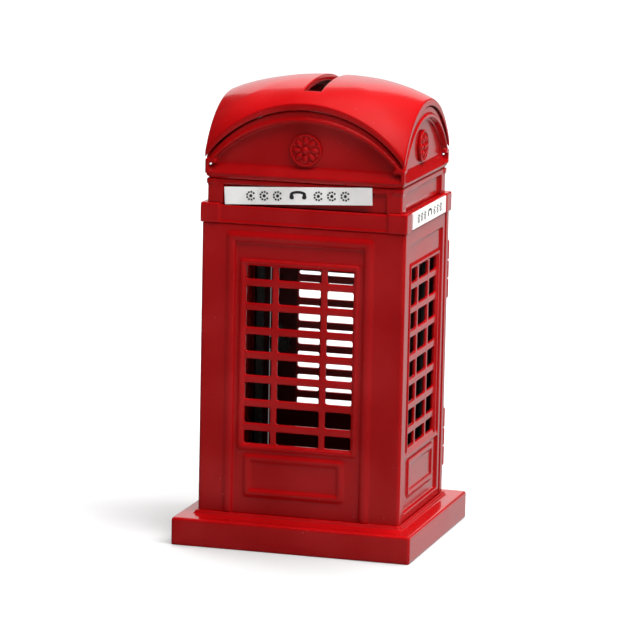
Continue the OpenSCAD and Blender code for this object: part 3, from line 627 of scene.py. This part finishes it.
def rosetteTree():
    # lies flat, its face up: a disc with a rim, a ring of petals, beads between them and a hub
    tree, sizes, end = newTree("rosette", [
        (label, "NodeSocketInt" if label == "Petals" else "NodeSocketFloat", value)
        for label, value in rosette.items()])
    disc = geoNode(tree, "MeshCylinder", {"fill_type": "TRIANGLE_FAN"}, Vertices=64,
                   Radius=sizes["Radius"], Depth=sizes["Disc"])
    rimPath = geoNode(tree, "CurvePrimitiveCircle", Resolution=72,
                      Radius=mathNode(tree, "SUBTRACT", sizes["Radius"], sizes["Rim"]))
    rimSection = geoNode(tree, "CurvePrimitiveCircle", Resolution=12, Radius=sizes["Rim"])
    rimTube = geoNode(tree, "CurveToMesh", Curve=rimPath, Profile_Curve=rimSection)
    rim = geoNode(tree, "SetPosition", Geometry=rimTube,
                  Offset=vectorOf(tree, z=mathNode(tree, "MULTIPLY", sizes["Disc"], 0.6)))
    ball = geoNode(tree, "MeshUVSphere", Segments=20, Rings=12, Radius=1.0)
    petal = geoNode(tree, "Transform", Geometry=ball,
                    Scale=vectorOf(tree, mathNode(tree, "MULTIPLY", sizes["Petal Length"], 0.72),
                                   mathNode(tree, "MULTIPLY", sizes["Petal Width"], 0.72),
                                   sizes["Relief"]))
    ring = geoNode(tree, "MeshCircle", Vertices=sizes["Petals"],
                   Radius=mathNode(tree, "MULTIPLY", sizes["Radius"], sizes["Petal Ring"]))
    turn = mathNode(tree, "DIVIDE", 2 * math.pi, sizes["Petals"])
    index = geoNode(tree, "InputIndex")
    facing = vectorOf(tree, z=mathNode(tree, "MULTIPLY", index, turn))
    petals = geoNode(tree, "InstanceOnPoints", Points=ring, Instance=petal, Rotation=facing)
    hubHeight = mathNode(tree, "MULTIPLY", sizes["Relief"], 1.2)
    hub = geoNode(tree, "Transform", Geometry=ball,
                  Scale=vectorOf(tree, sizes["Hub"], sizes["Hub"], hubHeight))
    dot = geoNode(tree, "Transform", Geometry=ball,
                  Scale=vectorOf(tree, *[mathNode(tree, "MULTIPLY", sizes["Rim"], 1.1)] * 3))
    outer = geoNode(tree, "MeshCircle", Vertices=sizes["Petals"],
                    Radius=mathNode(tree, "MULTIPLY", sizes["Radius"], sizes["Bead Ring"]))
    between = vectorOf(tree, z=mathNode(tree, "DIVIDE", math.pi, sizes["Petals"]))
    dots = geoNode(tree, "InstanceOnPoints", Points=outer, Instance=dot)
    turned = geoNode(tree, "Transform", Geometry=geoNode(tree, "RealizeInstances", Geometry=dots),
                     Rotation=between)
    beads = geoNode(tree, "SetPosition", Geometry=turned,
                    Offset=vectorOf(tree, z=mathNode(tree, "MULTIPLY", sizes["Disc"], 0.5)))
    closeTree(tree, end, joined(tree, disc, rim, petals, hub, beads), "enamel")
    return tree


def makeRosettes():
    tree = rosetteTree()
    flat = growMesh("rosetteFlat", tree, rosette)
    work = newObject("rosetteWork", flat)
    remesh = work.modifiers.new("paintFilm", "REMESH")
    remesh.mode = "VOXEL"
    remesh.voxel_size = rosetteFilm["cell"]
    fair = work.modifiers.new("fair", "SMOOTH")
    fair.factor = 0.5
    fair.iterations = rosetteFilm["fairing"]
    thin = work.modifiers.new("thin", "DECIMATE")
    thin.ratio = rosetteFilm["keep"]
    soft = plainMesh(work, "rosetteSoft")
    for node, facing in (("front_rosette", (0, -1, 0)), ("back_rosette", (0, 1, 0)),
                         ("left_rosette", (-1, 0, 0)), ("right_rosette", (1, 0, 0))):
        low, high = (Vector(corner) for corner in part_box(node))
        out = Vector(facing)
        middle = (low + high) / 2
        depth = abs((high - low).dot(out))
        back = middle - out * (depth / 2)
        across = Vector((0, 0, 1)).cross(out)
        turn = Matrix((across, Vector((0, 0, 1)), out)).transposed().to_4x4()
        mesh = soft.copy()
        mesh.transform(Matrix.Translation(back + out * rosetteFilm["proud"]) @ turn)
        for vertex in mesh.vertices:
            behind = (vertex.co - back).dot(out)
            if behind < 0:
                vertex.co -= out * behind
        mesh.materials.clear()
        mesh.materials.append(finishes["enamel"])
        finishPiece(node + "Relief", mesh, node, (node,))
    print("rosettes made", len(soft.polygons))


makeRosettes()


# ---- signs ----

marks = {
    "Ring": 1.2 * mm,
    "Dot": 0.33 * mm,
    "Dots": 9,
    "Centre": 0.5 * mm,
    "Film": 0.05 * mm,
    "pitch": 4.15 * mm,  # from one dial to the next
    "firstDial": 6.3 * mm,
    "dialsEachSide": 3,
}


def dialTree():
    # a telephone dial: a ring of finger holes with one gap, and a round centre
    tree, sizes, end = newTree("dialMark", [
        (label, "NodeSocketInt" if label == "Dots" else "NodeSocketFloat", marks[label])
        for label in ("Ring", "Dot", "Dots", "Centre", "Film")])
    ring = geoNode(tree, "MeshCircle", Vertices=sizes["Dots"], Radius=sizes["Ring"])
    dot = geoNode(tree, "MeshCylinder", Vertices=10, Radius=sizes["Dot"], Depth=sizes["Film"])
    centre = geoNode(tree, "MeshCylinder", Vertices=16, Radius=sizes["Centre"], Depth=sizes["Film"])
    finger = geoNode(tree, "InstanceOnPoints", Points=ring, Instance=dot,
                     Selection=mathNode(tree, "GREATER_THAN", geoNode(tree, "InputIndex"), 0.5))
    closeTree(tree, end, joined(tree, finger, centre), "ink")
    return tree


handset = {  # millimetres
    "outer": (2.5, 0.55, 1.0),  # half width, foot and rise of the grip's upper arch
    "inner": (1.55, 0.35, 0.42),  # the same of its lower arch
    "cup": [(2.65, -0.5), (2.3, -0.95), (1.5, -0.95), (1.2, -0.5)],
    "steps": 14,
}


def halfArch(reach, foot, rise):
    turns = [math.pi * step / handset["steps"] for step in range(handset["steps"] + 1)]
    return [(reach * math.cos(turn), foot + rise * math.sin(turn)) for turn in turns]


def handsetMesh():
    # a telephone handset lying level: an arched grip between two round cups
    shape = bmesh.new()
    leftCup = [(-x, y) for x, y in handset["cup"]]
    outline = halfArch(*handset["outer"]) + leftCup + halfArch(*handset["inner"])[::-1] \
        + handset["cup"][::-1]
    rows = [[shape.verts.new((x * mm, y * mm, z)) for x, y in outline]
            for z in (-marks["Film"] / 2, marks["Film"] / 2)]
    shape.faces.new(rows[1])
    shape.faces.new(rows[0][::-1])
    for index in range(len(outline)):
        after = (index + 1) % len(outline)
        shape.faces.new((rows[0][index], rows[0][after], rows[1][after], rows[1][index]))
    mesh = bpy.data.meshes.new("handset")
    shape.to_mesh(mesh)
    shape.free()
    return mesh


def plateFrame(node, out):
    # the middle of a plate's printed face, and its directions: along, up and out
    found = frame["nodes"][node].data.vertices
    corners = {tuple(round(value, 6) for value in vertex.co) for vertex in found}
    vertices = [Vector(corner) for corner in sorted(corners)]
    middle = sum(vertices, Vector()) / len(vertices)
    face = max((vertex - middle).dot(out) for vertex in vertices)
    across = Vector((0, 0, 1)).cross(out)
    ends = sorted(vertices, key=lambda vertex: (vertex - middle).dot(across))
    half = len(ends) // 2
    left = sum(ends[:half], Vector()) / half
    right = sum(ends[-half:], Vector()) / half
    along = (right - left).normalized()
    return Matrix.Translation(middle + out * (face + marks["Film"] * 0.3)) @ \
        Matrix((along, out.cross(along), out)).transposed().to_4x4()


def makeSignMarks():
    dial = growMesh("dialFlat", dialTree(), marks)
    receiver = handsetMesh()
    spots = [marks["firstDial"] + marks["pitch"] * step for step in range(marks["dialsEachSide"])]
    for node, facing, scale in (("front_sign", (0, -1, 0), 1.0), ("back_sign", (0, 1, 0), 1.0),
                                ("left_sign", (-1, 0, 0), 0.88), ("right_sign", (1, 0, 0), 0.88)):
        out = Vector(facing)
        shape = bmesh.new()
        size = Matrix.Diagonal((scale, scale, 1.0, 1.0))
        dials = [(dial, side * spot) for side in (-1, 1) for spot in spots]
        for source, spot in [(receiver, 0.0)] + dials:
            printed = source.copy()
            printed.transform(size @ Matrix.Translation((spot, 0, 0)))
            shape.from_mesh(printed)
        bmesh.ops.recalc_face_normals(shape, faces=shape.faces)
        mesh = bpy.data.meshes.new(node + "Marks")
        shape.to_mesh(mesh)
        shape.free()
        mesh.transform(plateFrame(node, out))
        mesh.materials.append(finishes["ink"])
        finishPiece(node + "Marks", mesh, node)
        for face in mesh.polygons:
            face.use_smooth = False
    print("signs printed")


makeSignMarks()


# ---- cover screws ----

screw = {
    "Head Radius": 1.7 * mm,
    "Head Height": 0.6 * mm,
    "Shank Radius": 0.9 * mm,
    "Shank Length": 4.0 * mm,
    "Slot Width": 0.4 * mm,
    "Slot Depth": 0.3 * mm,
}


def screwTree(inset, low):
    # four slotted screws, head down, at the corners of a rectangle
    values = dict(screw, **{"Spread X": inset.x, "Spread Y": inset.y, "Low": low})
    tree, sizes, end = newTree("coverScrews", [
        (label, "NodeSocketFloat", value) for label, value in values.items()])
    head = geoNode(tree, "MeshCylinder", {"fill_type": "NGON"}, Vertices=40,
                   Radius=sizes["Head Radius"], Depth=sizes["Head Height"])
    block = geoNode(tree, "MeshCube", Size=vectorOf(
        tree, mathNode(tree, "MULTIPLY", sizes["Head Radius"], 1.35), sizes["Slot Width"],
        mathNode(tree, "MULTIPLY", sizes["Slot Depth"], 2.0)))
    cut = geoNode(tree, "Transform", Geometry=block,
                  Translation=vectorOf(tree, z=mathNode(tree, "MULTIPLY", sizes["Head Height"], -0.5)))
    slotted = addNode(tree, "GeometryNodeMeshBoolean", operation="DIFFERENCE")
    plug(tree, slotted.inputs["Mesh 1"], head)
    plug(tree, slotted.inputs["Mesh 2"], cut)
    middle = mathNode(tree, "MULTIPLY", sizes["Shank Length"], 0.5)
    shank = geoNode(tree, "Transform",
                    Geometry=geoNode(tree, "MeshCylinder", Vertices=24, Radius=sizes["Shank Radius"],
                                     Depth=sizes["Shank Length"]),
                    Translation=vectorOf(tree, z=middle))
    corners = geoNode(tree, "MeshGrid", Size_X=sizes["Spread X"], Size_Y=sizes["Spread Y"],
                      Vertices_X=2, Vertices_Y=2)
    halfHead = mathNode(tree, "MULTIPLY", sizes["Head Height"], 0.5)
    placed = geoNode(tree, "Transform", Geometry=corners, Translation=vectorOf(
        tree, z=mathNode(tree, "ADD", sizes["Low"], halfHead)))
    screws = geoNode(tree, "InstanceOnPoints", Points=placed,
                     Instance=joined(tree, slotted.outputs[0], shank))
    closeTree(tree, end, screws, "steel")
    return tree


def makeScrews():
    low, high = (Vector(corner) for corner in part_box("cover_screws"))
    spread = high - low - Vector((2, 2, 0)) * screw["Head Radius"]
    sharp = growMesh("coverScrewSet", screwTree(spread, low.z), screw)
    mesh = roundEdges(sharp, "coverScrewSet", 0.08 * mm, 2, 40.0)
    finishPiece("coverScrewSet", mesh, "cover_screws", ("cover_screws",))
    for face in mesh.polygons:
        face.use_smooth = len(face.vertices) == 4
    print("screws made")


makeScrews()


# ---- pieces that keep their CAD shape ----

fineEdges = {  # radius in millimetres
    "plinth_cover": 0.15, "hinge_pins": 0.1, "lock_barrel": 0.15, "lock_nut": 0.12,
    "lock_plug": 0.08, "lock_cam": 0.12, "cam_screw": 0.06, "clamp_bolts": 0.12,
    "front_sign": 0.06, "back_sign": 0.06, "left_sign": 0.06, "right_sign": 0.06,
}


def softenEdges(node, radius):
    # a bevel and the finish, on the CAD object itself
    piece = frame["nodes"][node]
    weld = piece.modifiers.new("weld", "WELD")
    weld.merge_threshold = 0.001 * mm
    bevel = piece.modifiers.new("softEdges", "BEVEL")
    bevel.width = radius
    bevel.segments = 2
    bevel.limit_method = "ANGLE"
    bevel.angle_limit = math.radians(40.0)
    for slot in piece.material_slots:
        slot.material = finishes[slotOf[node]]


for node, radius in fineEdges.items():
    softenEdges(node, radius * mm)
print("small pieces finished")


# ---- camera and studio ----

camera = {
    "azimuth": 16.01,  # degrees round from the front
    "elevation": 10.20,
    "roll": 1.20,
    "distance": 1255.8 * mm,
    "target": (-1.65 * mm, 0.0, 65.4 * mm),
    "lens": 232.45,
}

studio = {
    "world": (0.9, 0.93, 1.0, 1.0),
    "worldStrength": 0.02,
    "floor": (0.45, 0.45, 0.45, 1.0),
    "cards": ("backCard", "crestCard"),  # the only lamps the paint mirrors
    "lights": {  # place, aim, size and power of each soft box
        "key": ((0.6, -0.15, 1.1), (0, 0, 0.07), 0.9, 31.0),
        "front": ((0.05, -0.5, 1.25), (0, 0, 0.05), 0.7, 8.0),
        "leftBack": ((-0.8, 0.75, 0.7), (0, 0, 0.07), 0.6, 7.0),
        "backCard": ((0.45, 1.2, -0.36), (0, 0, 0.0), 1.0, 1.7),
        "crestCard": ((-0.36, 1.3, 0.5), (0, 0, 0.13), 0.9, 1.8),
        "wallWash": ((0.0, 0.9, 2.0), (0, 1.75, 0.4), 1.6, 80.0),
    },
}


def makeCamera():
    az = math.radians(camera["azimuth"])
    el = math.radians(camera["elevation"])
    roll = math.radians(camera["roll"])
    back = Vector((math.sin(az) * math.cos(el), -math.cos(az) * math.cos(el), math.sin(el)))
    right = (-back).cross(Vector((0, 0, 1))).normalized()
    up = right.cross(-back)
    tiltedRight = right * math.cos(roll) + up * math.sin(roll)
    tiltedUp = up * math.cos(roll) - right * math.sin(roll)
    data = bpy.data.cameras.new("camera")
    data.lens = camera["lens"]
    data.sensor_width = 36.0
    data.clip_start = 0.01
    rig = newObject("camera", data)
    turn = Matrix((tiltedRight, tiltedUp, back)).transposed().to_4x4()
    rig.matrix_world = Matrix.Translation(Vector(camera["target"]) + back * camera["distance"]) @ turn
    bpy.context.scene.camera = rig


def softBox(name, spot, aim, size, power):
    data = bpy.data.lights.new(name, "AREA")
    data.shape = "SQUARE"
    data.size = size
    data.energy = power
    lamp = newObject(name, data)
    lamp.location = spot
    lamp.rotation_euler = (Vector(aim) - Vector(spot)).to_track_quat("-Z", "Y").to_euler()
    lamp.visible_camera = False
    lamp.visible_glossy = name in studio["cards"]


sheet = {"reach": 3.0, "level": 1.2, "bend": 0.6, "steps": 12, "top": 2.6}  # metres


def floorSheet():
    # a floor that curves up into a wall behind the booth
    level, radius = sheet["level"], sheet["bend"]
    profile = [(-sheet["reach"], 0.0), (level, 0.0)]
    for step in range(1, sheet["steps"] + 1):
        bend = math.radians(90.0 * step / sheet["steps"])
        profile.append((level + radius * math.sin(bend), radius - radius * math.cos(bend)))
    profile.append((level + radius, sheet["top"]))
    shape = bmesh.new()
    rows = [[shape.verts.new((x, y, z)) for y, z in profile] for x in (-sheet["reach"], sheet["reach"])]
    for index in range(len(profile) - 1):
        shape.faces.new((rows[0][index], rows[1][index], rows[1][index + 1], rows[0][index + 1]))
    mesh = bpy.data.meshes.new("floor")
    shape.to_mesh(mesh)
    shape.free()
    for face in mesh.polygons:
        face.use_smooth = True
    material, tree, shader = newMaterial("paleFloor")
    shader.inputs["Base Color"].default_value = studio["floor"]
    shader.inputs["Roughness"].default_value = 0.7
    mesh.materials.append(material)
    floor = newObject("floor", mesh)
    floor.visible_glossy = False  # keeps the pale floor out of the paint's mirror


def makeStudio():
    world = bpy.data.worlds.new("studio")
    bpy.context.scene.world = world
    world.use_nodes = True
    sky = world.node_tree.nodes["Background"]
    sky.inputs["Color"].default_value = studio["world"]
    sky.inputs["Strength"].default_value = studio["worldStrength"]
    floorSheet()
    for name, settings in studio["lights"].items():
        softBox(name, *settings)
    bpy.context.scene.view_settings.view_transform = "Standard"


makeCamera()
makeStudio()
print("studio made")
